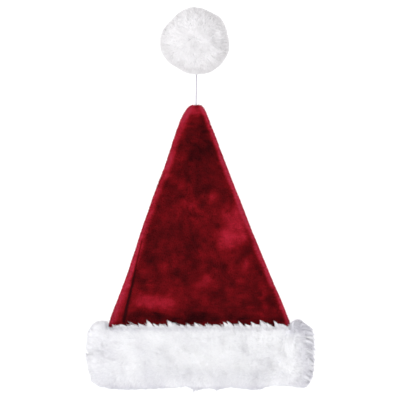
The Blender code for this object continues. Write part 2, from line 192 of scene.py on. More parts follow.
# The pompom's outline from above: its middle, its radius and its reach at each turn, in degrees
POMPOM_MIDDLE = (-0.0082, 0.2146)
POMPOM_HEIGHT = 0.0442
POMPOM_RADIUS = 0.04625
POMPOM_LUMP_DEPTH = 0.0016
POMPOM_LUMP_WAVES = 2.6  # in its radius
POMPOM_GAP = 0.0005  # how far from the floor the ball stays
POMPOM_LUMPS = (
    (-163, 1.035), (-124, 0.945), (-78, 1.010), (-41, 1.055), (-15, 1.050), (10, 0.990), (41, 1.010),
    (60, 0.960), (93, 0.990), (139, 0.905), (160, 0.980),
)

# The fur of the cuff and of the pompom
Pile = namedtuple("Pile", (
    "clumps",
    "strands",
    "length",
    "cling",  # how far the strands of a clump gather at its point
    "lean",  # how flat they lie
    "lift",  # how far they rise before they lie down
    "stray",  # how far each turns away from its neighbours
))
CUFF_PILE = Pile(2400, 56000, 0.0085, 0.10, 0.84, 0.13, 0.40)  # in each of its three pieces
CUFF_SINK = 0.0015
LEAST_DEPTH = 0.02  # places narrower than this aren't stretched to the outline
CUFF_INSET = 0.0028  # how far the matted foot of the fur stays inside the outline
CUFF_SEED = 7
RAGGED = (0.0010, 930, 410)  # its outline's waver: how deep, and its waves and their unevenness in a metre
# How the cuff's fur is brushed: all of it, and more so at its upper edge, its ends and its hem
CUFF_BRUSH = (-0.45, 0.05, 0.0)
TOP_BRUSH = (-0.8, 0.6, 0.0)
RIGHT_BRUSH = (1.3, -1.4, -0.3)
LEFT_BRUSH = (-0.7, 0.1, -0.3)
HEM_BRUSH = (0.1, -1.0, -0.2)
TOP_RISE = (-0.190, -0.176)
TOP_END = (0.130, 0.112)
RIGHT_SPAN = (0.1, 0.14)
LEFT_SPAN = (-0.12, -0.15)
HEM_SPAN = (-0.236, -0.250)
CUFF_SWIRL = (30, 0.5)  # waves in a metre and how strong
CUFF_CALM = 0.6  # how much weaker they are at its upper edge
# Where its fur is painted greyer as painted shade: along x or y, from where to where and by how much
CUFF_PAINTED_SHADE = (
    (0, 0.120, 0.150, 0.36), (0, -0.010, -0.110, 0.08), (0, -0.140, -0.154, 0.12),
    (1, -0.222, -0.242, 0.14), (1, -0.2470, -0.2570, 0.52),
)
# Painted shade along the cuff's upper edge
TOP_PAINTED_SHADE = 0.36  # the same along its upper edge
TOP_PAINTED_SHADE_RISE = (-0.1840, -0.1770)
TOP_PAINTED_SHADE_START = (-0.135, -0.115)
ZONE_EDGES = (0.038, 0.052)  # where one piece of the fur thins out over the next
UNDER_LEVEL = 0.02  # below this its underside carries less
UNDER_SHARE = 0.3
POMPOM_PILE = Pile(1500, 56000, 0.0080, 0.12, 0.66, 0.14, 0.45)
POMPOM_DETAIL = 6  # subdivisions of its matted ball
POMPOM_INSET = 0.0030  # how far the ball stays inside the outline
POMPOM_SEED = 9
POMPOM_DRIFT = (-0.1, 0.0, -0.35)  # what pulls its fur besides the pull away from its middle
POMPOM_SWIRL = (40, 0.6)
# Painted shade on the pompom's fur: greyer to its right, at its top and round its rim
POMPOM_PAINTED_SHADE = ((0, 0.010, 0.034, 0.14), (1, 0.006, 0.034, 0.16))  # as the cuff's, from its middle
POMPOM_RIM_PAINTED_SHADE = (0.60, 0.95, 0.22)  # from which share of its radius to which it is greyer, and by how much
POMPOM_UNDER_LEVEL = 0.008
POMPOM_UNDER_SHARE = 0.5
PARTING_PULL = (0.55, 0.1)  # fur parts where its pull along the surface falls from the one to the other
PARTING_FILL = 2.0  # how much denser it grows there
FUR_VOXEL = 0.003
FUR_MELT = 20
FUR_WIDTH = 0.0006
SHORTEST = 0.3  # the least share of its length that a strand keeps at the outline
CLUMP_LENGTHS = (0.8, 1.2)
CLUMP_TRIM = (0.75, 1.15)  # how much of what stands past the outline is cut off
STRAND_LENGTHS = (0.75, 1.05)
STRAND_TRIM = (0.5, 1.1)
STRAND_HOLD = (0.3, 1.0)  # how much of the pile's cling each takes
STRAND_ROOT = 0.0008
STRAND_BEND = 0.4  # where along it a strand bends
STRAND_ROWS = 3
STRAND_TURN = 0.15  # how far its flat side turns
BEND_SCATTER = 0.0003
TIP_SCATTER = 0.0008
FUR_TONE = 0.5
FUR_MOTTLE = (40, 0.14)  # waves in a metre and how deep
FUR_GAP = 0.0003  # how far from the floor it stays
THROUGH_SHARE = 0.32  # light that passes through a fibre
THROAT = 0.028  # faces that look at another wall nearer than this carry no pile
TUFT_ROW = (-0.118, 0.119)  # where the fringe along the cuff's upper edge starts and ends
FRINGE_LOCKS = 500  # thin ones between the tufts
FRINGE_STRANDS = 7
FRINGE_SPREAD = 0.0013
FRINGE_FOOT = -0.1778
FRINGE_STRAY = 0.0006
FRINGE_BEND = (0.0006, 0.0004)
FRINGE_SLANT = (0.003, 0.3, 1.4)  # what is added to its reach, and the share of both that it leans left
FRINGE_EDGE = -0.1752
FRINGE_REACH = (0.0008, 0.0016)  # past that edge, the least and the mean of what is added
TUFT_FOOT = -0.1785
TUFT_SLANT = (0.0070, 0.005)  # how far a point lies left of its foot, and how much more at the left end
TUFT_BEND = (0.0012, 0.0015, 0.0010)  # to the right, how much less of it at the left end, and up
TUFT_LEFT = (-0.07, -0.10)
TUFT_STRANDS = (60, 100)
TUFT_SPREAD = (0.0015, 0.0024)
TUFT_WIDTH = 0.00038
TUFT_LIFT = 0.0030  # how far their points lie over the plush
LOCK_STRANDS = 90
LOCK_SPREAD = (0.0012, 0.0020)
LOCK_ROWS = 5
LOCK_ROOT = 0.001
LOCK_DROP = 0.006  # how far below a lock's foot its strands may start
LOCK_ARCH = 0.0012
LOCK_WAVER = 0.0004
LOCK_SHORT = (0.55, 1.5)  # how much shorter its strands may be, and how rarely that much
LOCK_POINT = 0.2  # how wide its point is, as a share of its foot
LOCK_TURN = 0.3
LOCK_TONE = 0.42
LOCK_TONE_STRAY = 0.12
# Painted shade: the locks round the right end and over the hem take a greyer tone
END_PAINTED_SHADE_TONE = 0.14  # of the locks round the right end and over the hem, which are greyer
# The points of the larger tufts along the cuff's upper edge
TUFTS = (
    (-0.1108, -0.1707), (-0.0959, -0.1715), (-0.0850, -0.1693), (-0.0733, -0.1646), (-0.0645, -0.1690),
    (-0.0556, -0.1700), (-0.0453, -0.1640), (-0.0379, -0.1680), (-0.0285, -0.1705), (-0.0192, -0.1700),
    (-0.0088, -0.1680), (0.0061, -0.1700), (0.0170, -0.1707), (0.0306, -0.1671), (0.0360, -0.1660),
    (0.0445, -0.1700), (0.0514, -0.1660), (0.0600, -0.1700), (0.0680, -0.1668), (0.0740, -0.1705),
    (0.0805, -0.1648), (0.0891, -0.1686), (0.0993, -0.1660), (0.1060, -0.1700),
)
# The locks round the right end and over the hem: how high their points lie beside their feet
END_FALL = 0.75
HEM_FALL = 0.90
END_BEND = (0.0022, 0.0012)
RIGHT_END = 0.12
# Their feet and their points
END_LOCKS = (
    (0.133, -0.172, 0.1475, -0.1745), (0.139, -0.174, 0.1550, -0.1800), (0.137, -0.180, 0.1575, -0.1865),
    (0.141, -0.186, 0.1578, -0.1935), (0.139, -0.192, 0.1580, -0.2010), (0.143, -0.199, 0.1578, -0.2075),
    (0.141, -0.205, 0.1580, -0.2145), (0.144, -0.212, 0.1575, -0.2220), (0.141, -0.219, 0.1568, -0.2290),
    (0.143, -0.226, 0.1562, -0.2365), (0.139, -0.233, 0.1550, -0.2440), (0.137, -0.240, 0.1525, -0.2500),
)
HEM_LOCKS = (
    (-0.008, -0.252, -0.0098, -0.2648), (-0.003, -0.251, -0.0050, -0.2632), (0.022, -0.251, 0.0225, -0.2630),
    (0.071, -0.252, 0.0750, -0.2620), (0.051, -0.249, 0.0520, -0.2590), (-0.087, -0.250, -0.0900, -0.2606),
    (0.140, -0.249, 0.1440, -0.2582), (0.120, -0.247, 0.1230, -0.2568),
)


def linear(code):
    """An sRGB hex colour as linear red, green, blue and alpha."""
    channels = [int(code[i:i + 2], 16) / 255 for i in (1, 3, 5)]
    return [c / 12.92 if c <= 0.04045 else ((c + 0.055) / 1.055) ** 2.4 for c in channels] + [1.0]


def add(tree, kind, inputs=None, **settings):
    """Adds a node with its settings; each input is given a value or linked from a socket."""
    made = tree.nodes.new(kind)
    for key, value in settings.items():
        setattr(made, key, value)
    for key, value in (inputs or {}).items():
        if isinstance(value, bpy.types.NodeSocket):
            tree.links.new(value, made.inputs[key])
        else:
            made.inputs[key].default_value = value
    return made


def new_material(name):
    paint = bpy.data.materials.new(name)
    paint.use_nodes = True
    paint.node_tree.nodes.clear()
    return paint, paint.node_tree


def ramp(tree, factor, *stops):
    """A colour ramp over factor, with stops of position and hex colour."""
    made = add(tree, "ShaderNodeValToRGB", {"Fac": factor})
    elements = made.color_ramp.elements
    while len(elements) < len(stops):
        elements.new(1.0)
    for element, (position, code) in zip(elements, stops):
        element.position = position
        element.color = linear(code)
    return made.outputs["Color"]


PILE_COLOURS = (
    (0.0, "#2a0407"), (0.22, "#58090e"), (0.45, "#7f0e16"), (0.68, "#a51b2b"), (0.86, "#bb2338"),
    (1.0, "#c6364f"),
)


def ribbon_place(tree):
    """A ribbon's tone and the height along it, as x and y."""
    spot = add(tree, "ShaderNodeUVMap", uv_map=BAKE_MAP)
    return add(tree, "ShaderNodeSeparateXYZ", {"Vector": spot.outputs[0]})


def crushed_velour():
    """Polyester velour: each tuft takes its tone from how the pile is crushed there, dark where one looks
    into it and pink where its side shows, with a soft sheen; lighter along the folds as a painted
    highlight, darker above the cuff as a painted shadow and darker towards its root as painted shade."""
    paint, tree = new_material("polyester_velour_pile")
    place = ribbon_place(tree)
    colour = ramp(tree, place.outputs["X"], *PILE_COLOURS)
    # Painted shade: each blade darker towards its root
    depth = add(tree, "ShaderNodeMapRange", {"Value": place.outputs["Y"], "To Min": 0.45, "To Max": 1.0})
    painted_shade_colour = add(tree, "ShaderNodeVectorMath", {0: colour, "Scale": depth.outputs[0]}, operation="SCALE")
    skin = add(tree, "ShaderNodeBsdfPrincipled", {
        "Base Color": painted_shade_colour.outputs[0], "Roughness": 0.8, "Specular IOR Level": 0.04,
        "Sheen Weight": 0.12, "Sheen Roughness": 0.4, "Sheen Tint": linear("#e04058")})
    add(tree, "ShaderNodeOutputMaterial", {"Surface": skin.outputs[0]})
    return paint


def velour_ground():
    """The foot of the velour pile, seen between its tufts: the pile's tones, darker as painted shade,
    with a fine crumb.
    """
    paint, tree = new_material("polyester_velour_ground")
    tone = add(tree, "ShaderNodeAttribute", attribute_name="tone").outputs["Fac"]
    colour = ramp(tree, tone, *PILE_COLOURS)
    # Painted shade: the ground is the pile's tones darkened
    painted_shade_colour = add(tree, "ShaderNodeVectorMath", {0: colour, "Scale": 0.6}, operation="SCALE")
    crumb = add(tree, "ShaderNodeTexNoise", {
        "Vector": add(tree, "ShaderNodeTexCoord").outputs["Object"], "Scale": 1 / 0.0016, "Detail": 3.0})
    bump = add(tree, "ShaderNodeBump", {"Strength": 0.6, "Distance": 0.0008, "Height": crumb.outputs[0]})
    skin = add(tree, "ShaderNodeBsdfPrincipled", {
        "Base Color": painted_shade_colour.outputs[0], "Roughness": 0.85, "Specular IOR Level": 0.04,
        "Sheen Weight": 0.12, "Sheen Roughness": 0.4, "Sheen Tint": linear("#e04058"),
        "Normal": bump.outputs[0]})
    add(tree, "ShaderNodeOutputMaterial", {"Surface": skin.outputs[0]})
    return paint


def jersey(name, code, dark, stitch):
    """Weft-knitted polyester ground: columns of small loops, matt, with darker gaps between them."""
    paint, tree = new_material(name)
    spot = add(tree, "ShaderNodeTexCoord").outputs["Object"]
    columns = add(tree, "ShaderNodeTexWave", {
        "Vector": spot, "Scale": math.pi / (stitch * 10), "Distortion": 0.6}, bands_direction="X")
    courses = add(tree, "ShaderNodeTexWave", {
        "Vector": spot, "Scale": math.pi / (stitch * 10), "Distortion": 0.6}, bands_direction="Y")
    loops = add(tree, "ShaderNodeMath", {
        0: columns.outputs["Fac"], 1: courses.outputs["Fac"]}, operation="MULTIPLY")
    colour = ramp(tree, loops.outputs[0], (0.0, dark), (0.5, code), (1.0, code))
    bump = add(tree, "ShaderNodeBump", {"Strength": 0.5, "Distance": 0.0004, "Height": loops.outputs[0]})
    skin = add(tree, "ShaderNodeBsdfPrincipled", {
        "Base Color": colour, "Roughness": 0.95, "Specular IOR Level": 0.1, "Normal": bump.outputs[0]})
    add(tree, "ShaderNodeOutputMaterial", {"Surface": skin.outputs[0]})
    return paint


# The fur's colours along its tone; their darker ends take the painted shade
FIBRE_COLOURS = ((0.0, "#d3d2d8"), (0.5, "#f3f3f4"), (1.0, "#fbfbfb"))
POMPOM_COLOURS = ((0.0, "#d6d4d5"), (0.5, "#efeeef"), (1.0, "#f8f7f7"))


def acrylic_fur(name, colours):
    """Acrylic fur fibre: a soft white that light passes through, a little greyer at its root as painted
    shade, with clumps and single fibres a shade apart, and greyer where its tone carries painted shade."""
    paint, tree = new_material(name)
    place = ribbon_place(tree)
    shade = ramp(tree, place.outputs["X"], *colours)
    # Painted shade: each fibre a little greyer towards its root
    height = add(tree, "ShaderNodeMapRange", {"Value": place.outputs["Y"], "To Min": 0.9, "To Max": 1.0})
    colour = add(tree, "ShaderNodeVectorMath", {0: shade, "Scale": height.outputs[0]}, operation="SCALE")
    skin = add(tree, "ShaderNodeBsdfPrincipled", {
        "Base Color": colour.outputs[0], "Roughness": 0.7, "Specular IOR Level": 0.1})
    through = add(tree, "ShaderNodeBsdfTranslucent", {"Color": colour.outputs[0]})
    both = add(tree, "ShaderNodeMixShader", {0: THROUGH_SHARE, 1: skin.outputs[0], 2: through.outputs[0]})
    add(tree, "ShaderNodeOutputMaterial", {"Surface": both.outputs[0]})
    return paint


def shade_painted_matted_fur(name, code, dark):
    """The matted foot of the fur: lumpy, given greyer than the fibres as painted shade where it shows
    between them, and a little greyer in its hollows as painted shade.
    """
    paint, tree = new_material(name)
    spot = add(tree, "ShaderNodeTexCoord").outputs["Object"]
    matting = add(tree, "ShaderNodeTexNoise", {
        "Vector": spot, "Scale": 1 / 0.004, "Detail": 5.0, "Roughness": 0.6})
    colour = ramp(tree, matting.outputs[0], (0.3, dark), (0.65, code))
    bump = add(tree, "ShaderNodeBump", {"Strength": 0.8, "Distance": 0.0015, "Height": matting.outputs[0]})
    skin = add(tree, "ShaderNodeBsdfPrincipled", {
        "Base Color": colour, "Roughness": 0.9, "Specular IOR Level": 0.1, "Normal": bump.outputs[0]})
    add(tree, "ShaderNodeOutputMaterial", {"Surface": skin.outputs[0]})
    return paint


def twisted_yarn():
    """Spun viscose cord: pale lilac grey, a faint gloss along each ply and fine fibres in it."""
    paint, tree = new_material("spun_viscose_cord")
    spot = add(tree, "ShaderNodeTexCoord").outputs["Object"]
    stretched = add(tree, "ShaderNodeMapping", {"Vector": spot, "Scale": (6.0, 1.0, 6.0)})
    fibres = add(tree, "ShaderNodeTexNoise", {
        "Vector": stretched.outputs[0], "Scale": 1 / 0.002, "Detail": 3.0})
    colour = ramp(tree, fibres.outputs[0], (0.25, "#9a96a0"), (0.7, "#bdb9c3"))
    bump = add(tree, "ShaderNodeBump", {"Strength": 0.4, "Distance": 0.0001, "Height": fibres.outputs[0]})
    skin = add(tree, "ShaderNodeBsdfPrincipled", {
        "Base Color": colour, "Roughness": 0.55, "Specular IOR Level": 0.4, "Normal": bump.outputs[0]})
    add(tree, "ShaderNodeOutputMaterial", {"Surface": skin.outputs[0]})
    return paint


def lit_floor():
    """A table of opal acrylic lit from below, so that it stays white round the hat."""
    paint, tree = new_material("opal_light_table")
    skin = add(tree, "ShaderNodeBsdfPrincipled", {
        "Base Color": linear("#8c8c8c"), "Roughness": 0.9, "Specular IOR Level": 0.0,
        "Emission Color": linear("#ffffff"), "Emission Strength": FLOOR_GLOW})
    add(tree, "ShaderNodeOutputMaterial", {"Surface": skin.outputs[0]})
    return paint


def make_camera():
    """A long lens straight above, so that the frame covers the photograph at the hat's scale."""
    camera = bpy.data.cameras.new("camera")
    camera.lens = camera.sensor_width * (CAMERA_HEIGHT - SHARP_LEVEL) / (PHOTO_SIDE * PIXEL)
    obj = bpy.data.objects.new("camera", camera)
    obj.location = (*VIEW_CENTRE, CAMERA_HEIGHT)
    bpy.context.scene.collection.objects.link(obj)
    bpy.context.scene.camera = obj


def make_stage():
    """The floor, a soft light from overhead that is brighter on the left and one large soft lamp there."""
    bm = bmesh.new()
    bmesh.ops.create_grid(bm, x_segments=1, y_segments=1, size=FLOOR_SIDE / 2)
    mesh = bpy.data.meshes.new("floor")
    bm.to_mesh(mesh)
    bm.free()
    mesh.materials.append(lit_floor())
    floor = bpy.data.objects.new("floor", mesh)
    bpy.context.scene.collection.objects.link(floor)

    world = bpy.data.worlds.new("sky")
    world.use_nodes = True
    tree = world.node_tree
    spot = add(tree, "ShaderNodeTexCoord").outputs["Generated"]
    place = add(tree, "ShaderNodeSeparateXYZ", {"Vector": spot})
    side = add(tree, "ShaderNodeMapRange", {
        "Value": place.outputs["X"], "From Min": -1.0, "From Max": 1.0, "To Min": SKY[0], "To Max": SKY[1]})
    height = add(tree, "ShaderNodeMapRange", {
        "Value": place.outputs["Z"], "To Min": SKY_FALL[0], "To Max": SKY_FALL[1]})
    strength = add(tree, "ShaderNodeMath", {0: side.outputs[0], 1: height.outputs[0]}, operation="MULTIPLY")
    sky = tree.nodes["Background"]
    sky.inputs["Color"].default_value = linear("#fdfdfe")
    tree.links.new(strength.outputs[0], sky.inputs["Strength"])
    bpy.context.scene.world = world
    bpy.context.scene.view_settings.view_transform = "Standard"

    lamp = bpy.data.lights.new("key", "AREA")
    lamp.size = KEY_SIDE
    lamp.energy = KEY_POWER
    key = bpy.data.objects.new("key", lamp)
    key.location = KEY_PLACE
    key.rotation_mode = "QUATERNION"
    key.rotation_quaternion = Vector(KEY_PLACE).to_track_quat("Z", "Y")
    bpy.context.scene.collection.objects.link(key)


def finished(name, mesh, paints, slot, *nodes):
    """The mesh as a piece that rides on the body, with the paints, standing for the nodes; slot is not
    used.
    """
    obj = bpy.data.objects.new(name, mesh)
    bpy.context.scene.collection.objects.link(obj)
    mesh.materials.clear()
    for paint in paints:
        mesh.materials.append(paint)
    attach(obj, "root")
    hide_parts(*nodes)
    return obj


def unit(vectors):
    return vectors / np.maximum(np.linalg.norm(vectors, axis=-1, keepdims=True), 1e-12)


def ease(low, high, values):
    """0 below low, 1 above high and smooth between."""
    t = np.clip((values - low) / (high - low), 0, 1)
    return t * t * (3 - 2 * t)


def vertex_values(mesh, kind="co"):
    """The vertices' places or normals as an array."""
    values = np.empty(len(mesh.vertices) * 3)
    if kind == "co":
        mesh.vertices.foreach_get("co", values)
    else:
        mesh.vertex_normals.foreach_get("vector", values)
    return values.reshape(-1, 3)


def soft_copy(node, shape_it):
    """A merged copy of the node's mesh with quads, put through the modifiers that shape_it adds."""
    bm = bmesh.new()
    bm.from_mesh(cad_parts[node].data)
    bmesh.ops.remove_doubles(bm, verts=bm.verts, dist=WELD)
    bmesh.ops.join_triangles(bm, faces=bm.faces, angle_face_threshold=0.7, angle_shape_threshold=1.2)
    mesh = bpy.data.meshes.new(node)
    bm.to_mesh(mesh)
    bm.free()
    obj = bpy.data.objects.new(node + "_shaping", mesh)
    bpy.context.scene.collection.objects.link(obj)
    shape_it(obj)
    shaped = bpy.data.meshes.new_from_object(obj.evaluated_get(bpy.context.evaluated_depsgraph_get()))
    bpy.data.objects.remove(obj)
    shaped.shade_smooth()
    return shaped


def subdivided(levels):
    def shape_it(obj):
        rounder = obj.modifiers.new("rounder", "SUBSURF")
        rounder.levels = rounder.render_levels = levels
    return shape_it


def melted(sink):
    """Locks melted into a lumpy pad, sink below the solid's own surface."""
    def shape_it(obj):
        skin = obj.modifiers.new("skin", "REMESH")
        skin.voxel_size = FUR_VOXEL
        melt = obj.modifiers.new("melt", "SMOOTH")
        melt.iterations = FUR_MELT
        shrink = obj.modifiers.new("shrink", "DISPLACE")
        shrink.mid_level = 0.0
        shrink.strength = -sink
    return shape_it


def clear_view(mesh, nodes, reach, skip=0.004):
    """For each vertex, whether nothing stands within reach in front of it."""
    trees = []
    for node in nodes:
        bm = bmesh.new()
        bm.from_mesh(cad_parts[node].data)
        trees.append(BVHTree.FromBMesh(bm))
        bm.free()
    clear = np.ones(len(mesh.vertices), bool)
    for i, (point, normal) in enumerate(zip(vertex_values(mesh), vertex_values(mesh, "normal"))):
        start = Vector(point + normal * skip)
        clear[i] = all(tree.ray_cast(start, Vector(normal), reach)[0] is None for tree in trees)
    return clear


def scattered(mesh, count, share, rng):
    """Places spread over the mesh as densely as the vertices' share says: corners and their weights."""
    mesh.calc_loop_triangles()
    corners = np.empty(len(mesh.loop_triangles) * 3, int)
    mesh.loop_triangles.foreach_get("vertices", corners)
    corners = corners.reshape(-1, 3)
    a, b, c = vertex_values(mesh)[corners].transpose(1, 0, 2)
    density = np.linalg.norm(np.cross(b - a, c - a), axis=1) * share[corners].mean(axis=1)
    picked = rng.choice(len(corners), count, p=density / density.sum())
    root, part = np.sqrt(rng.random(count)), rng.random(count)
    return corners[picked], np.stack([1 - root, root * (1 - part), root * part], axis=1)


def at(values, places):
    """The vertices' values at the scattered places."""
    corners, weights = places
    if values.ndim == 1:
        return (values[corners] * weights).sum(axis=1)
    return (values[corners] * weights[..., None]).sum(axis=1)


def ribbons(name, lines, facing, width, tone):
    """One mesh of tapering ribbons: lines holds each ribbon's points from root to tip, facing the way its
    flat side looks and tone its place along the colour ramp."""
    count, rows = lines.shape[:2]
    side = unit(np.cross(lines[:, -1] - lines[:, 0], facing))[:, None, :]
    taper = (1 - (np.arange(rows - 1) / (rows - 1)) ** 2)[None, :, None] * width / 2
    pairs = np.stack([lines[:, :-1] - side * taper, lines[:, :-1] + side * taper], axis=2)
    per = 2 * (rows - 1) + 1
    points = np.concatenate([pairs.reshape(count, per - 1, 3), lines[:, -1:]], axis=1)
    pattern = []
    for row in range(rows - 2):
        j = 2 * row
        pattern += [(j, j + 1, j + 3), (j, j + 3, j + 2)]
    pattern.append((per - 3, per - 2, per - 1))
    faces = (np.array(pattern)[None] + (np.arange(count) * per)[:, None, None]).reshape(-1, 3)
    mesh = bpy.data.meshes.new(name)
    mesh.from_pydata(points.reshape(-1, 3), [], faces)

    across = np.array([-1, 1] * (rows - 1) + [0]) * MAP_SPREAD
    height = np.repeat(np.arange(rows - 1), 2).tolist() + [rows - 1]
    spots = np.empty((count, per, 2))
    spots[..., 0] = np.clip(tone, MAP_MARGIN, 1 - MAP_MARGIN)[:, None] + across
    spots[..., 1] = MAP_MARGIN + (1 - 2 * MAP_MARGIN) * np.array(height) / (rows - 1)
    layer = mesh.uv_layers.new(name=BAKE_MAP)
    layer.uv.foreach_set("vector", spots.reshape(-1, 2)[faces.ravel()].ravel())
    mesh.shade_smooth()
    return mesh


def seam_distance(x, y):
    """How far each place lies from the seam's line, and on which side, plus to its right."""
    best = np.full(len(x), 1.0)
    for (ax, ay), (bx, by) in zip(SEAM, SEAM[1:]):
        dx, dy = bx - ax, by - ay
        t = np.clip(((x - ax) * dx + (y - ay) * dy) / (dx * dx + dy * dy), 0, 1)
        off = np.hypot(x - ax - t * dx, y - ay - t * dy)
        sign = np.sign((x - ax) * dy - (y - ay) * dx)
        best = np.where(off < abs(best), off * np.where(sign == 0, 1, sign), best)
    return best


def from_edges(points, reach=0.006, count=60):
    """How far each vertex lies inside the left and the right edge of the outline, seen from above."""
    x, y = points[:, 0], points[:, 1]
    stations = np.linspace(y.min(), y.max(), count)
    bands = [x[abs(y - station) < reach] for station in stations]
    left = np.interp(y, stations, [band.min() for band in bands])
    right = np.interp(y, stations, [band.max() for band in bands])
    return x - left, right - x


def waves(points, *scales):
    """Noise at each place, with so many waves in a metre each way."""
    return np.array([noise.noise(spot) for spot in points * scales])


def crushed(points, normals):
    """How light or dark the pile lies at each vertex, 0 to 1, with a painted highlight along the folds
    and a painted shadow above the cuff.
    """
    x, y = points[:, 0], points[:, 1]
    tone = np.full(len(points), PLUSH_TONE)
    stirred = sum(swirls(points, scale) * far for scale, far in STIRRED)
    wide_x, wide_y = x + stirred[:, 0], y + stirred[:, 1]
    for cx, cy, half, wide, turn, gain in CRUSHED_AND_PAINTED_SHADOW:
        c, s = math.cos(math.radians(turn)), math.sin(math.radians(turn))
        u = ((wide_x - cx) * c + (wide_y - cy) * s) / half
        v = (-(wide_x - cx) * s + (wide_y - cy) * c) / wide
        tone += gain * np.exp(-(u * u + v * v) ** CRUSH_EDGE)
    for across, lengthwise, depth in MOTTLING:
        tone += depth * waves(points, across, lengthwise, across)
    # Painted highlight: the pile lighter along each folded edge, where the pile stands open and grazing
    # sheen lights it
    for (width, gain), inside in zip((LEFT_FOLD_HIGHLIGHT, RIGHT_FOLD_HIGHLIGHT), from_edges(points)):
        tone += gain * ease(width, FOLD_HIGHLIGHT_CORE * width, inside)
    off = seam_distance(x, y)
    top = ease(0.0, 0.3, normals[:, 2])
    start, light, dim, end = STRIP_SPAN
    tone += STRIP_TONE * top * ease(end, dim, off) * ease(start, light, off)
    wide = SEAM_TAPER[0] - SEAM_TAPER[1] * ease(*SEAM_SPAN, y)
    tone -= SEAM_DEPTH * top * np.exp(-(off / SEAM_WIDTH / wide) ** 2)
    return np.clip(tone, *TONE_LIMITS)


def make_crown():
    """The plush cone: its smooth shell, knitted inside, and the short pile on its outer side."""
    rng = np.random.default_rng(PLUSH_SEED)
    mesh = soft_copy("crown", subdivided(PLUSH_LEVELS))
    points, normals = vertex_values(mesh), vertex_values(mesh, "normal")
    outside = clear_view(mesh, ["crown"], CROWN_SIGHT)
    tone = crushed(points, normals)
    layer = mesh.attributes.new("tone", "FLOAT", "POINT")
    layer.data.foreach_set("value", tone)
    inner = jersey("red_jersey", "#6a1119", "#43080d", 0.0012)
    finished("crown_shell", mesh, [velour_ground(), inner], "plush", "crown")
    hidden = ~outside
    for face in mesh.polygons:
        face.material_index = int(sum(hidden[v] for v in face.vertices) * 2 > len(face.vertices))

    share = outside * np.where(normals[:, 2] < -0.5, UNDERSIDE_SHARE, 1.0)
    off = seam_distance(points[:, 0], points[:, 1])
    share = share * np.where((abs(off) < SEAM_WIDTH * SEAM_BARE) & (normals[:, 2] > 0), SEAM_SHARE, 1.0)
    places = scattered(mesh, PLUSH_BLADES, share, rng)
    root, up = at(points, places), unit(at(normals, places))
    nap = np.array([noise.noise_vector(spot) for spot in points * NAP_WAVES]) + NAP
    lean = at(nap, places) + rng.normal(0, NAP_STRAY, root.shape)
    lean -= up * (lean * up).sum(axis=1, keepdims=True)
    tip = root + PLUSH_PILE * rng.uniform(*BLADE_LENGTHS, (len(root), 1)) * unit(up * BLADE_RISE + lean)
    root = root - up * BLADE_ROOT
    tip[:, 2] = np.maximum(tip[:, 2], BLADE_GAP)
    lines = np.stack([root, tip], axis=1)
    facing = up + rng.normal(0, BLADE_TURN, root.shape)
    across, lengthwise, depth = GRAIN
    shades = at(tone, places) + depth * waves(root, across, lengthwise, 0.0)
    shades += rng.normal(0, TONE_STRAY, len(root))
    pile = ribbons("crown_pile", lines, facing, PLUSH_BLADE, shades)
    finished("crown_pile", pile, [crushed_velour()], "plush", "crown")


def ragged(along_edge):
    """How far the points of the fur reach over its outline, and fall short of it, along an edge."""
    depth, turns, uneven = RAGGED
    return depth * np.sin(turns * along_edge + 2 * np.sin(uneven * along_edge))


def past_cuff(points):
    """How far each point stands past the outline of the cuff's fur, seen from above."""
    x, y = points[:, 0], points[:, 1]
    ys, lefts, rights = zip(*CUFF_SIDES)
    reach = ragged(y)
    past_left = np.interp(y, ys, lefts) - 0.5 * reach - x
    past_right = x - np.interp(y, ys, rights) - reach
    past_hem = np.interp(x, *zip(*CUFF_HEM)) - ragged(x) - y
    past_top = y - np.interp(x, *zip(*CUFF_TOP))
    return np.maximum.reduce([past_left, past_right, past_hem, past_top, np.zeros(len(x))])


def past_pompom(points):
    """How far each point stands past the outline of the pompom, seen from above."""
    away = points[:, :2] - POMPOM_MIDDLE
    turns = np.degrees(np.arctan2(away[:, 1], away[:, 0]))
    reach = POMPOM_RADIUS * np.interp(turns, *zip(*POMPOM_LUMPS), period=360)
    return np.maximum(np.hypot(*away.T) - reach, 0)


def own_ends(places, values, reach=0.005, count=70):
    """The lowest and highest of the values near each place, on a smooth line along the places."""
    stations = np.linspace(places.min(), places.max(), count)
    bands = [values[abs(places - station) < reach] for station in stations]
    low = np.interp(places, stations, [band.min() for band in bands])
    return low, np.interp(places, stations, [band.max() for band in bands])


def drawn_to_outline(mesh):
    """Moves the foot of the cuff's fur so that it follows the outline from above, a little inside it."""
    points = vertex_values(mesh)
    low, high = own_ends(points[:, 0], points[:, 1])
    hem = np.interp(points[:, 0], *zip(*CUFF_HEM)) + CUFF_INSET
    top = np.interp(points[:, 0], *zip(*CUFF_TOP)) - CUFF_INSET
    points[:, 1] = hem + (points[:, 1] - low) / np.maximum(high - low, LEAST_DEPTH) * (top - hem)
    left, right = own_ends(points[:, 1], points[:, 0])
    ys, lefts, rights = zip(*CUFF_SIDES)
    start = np.interp(points[:, 1], ys, lefts) + CUFF_INSET
    end = np.interp(points[:, 1], ys, rights) - CUFF_INSET
    points[:, 0] = start + (points[:, 0] - left) / (right - left) * (end - start)
    mesh.vertices.foreach_set("co", points.ravel())
    mesh.update()


def along(brushed, normals):
    """The brushed directions laid along the surface, each of length 1."""
    return unit(brushed - normals * (brushed * normals).sum(axis=1, keepdims=True))


def swirls(points, scale):
    """Slow swirls that change from place to place."""
    return np.array([noise.noise_vector(Vector(point) * scale) for point in points])


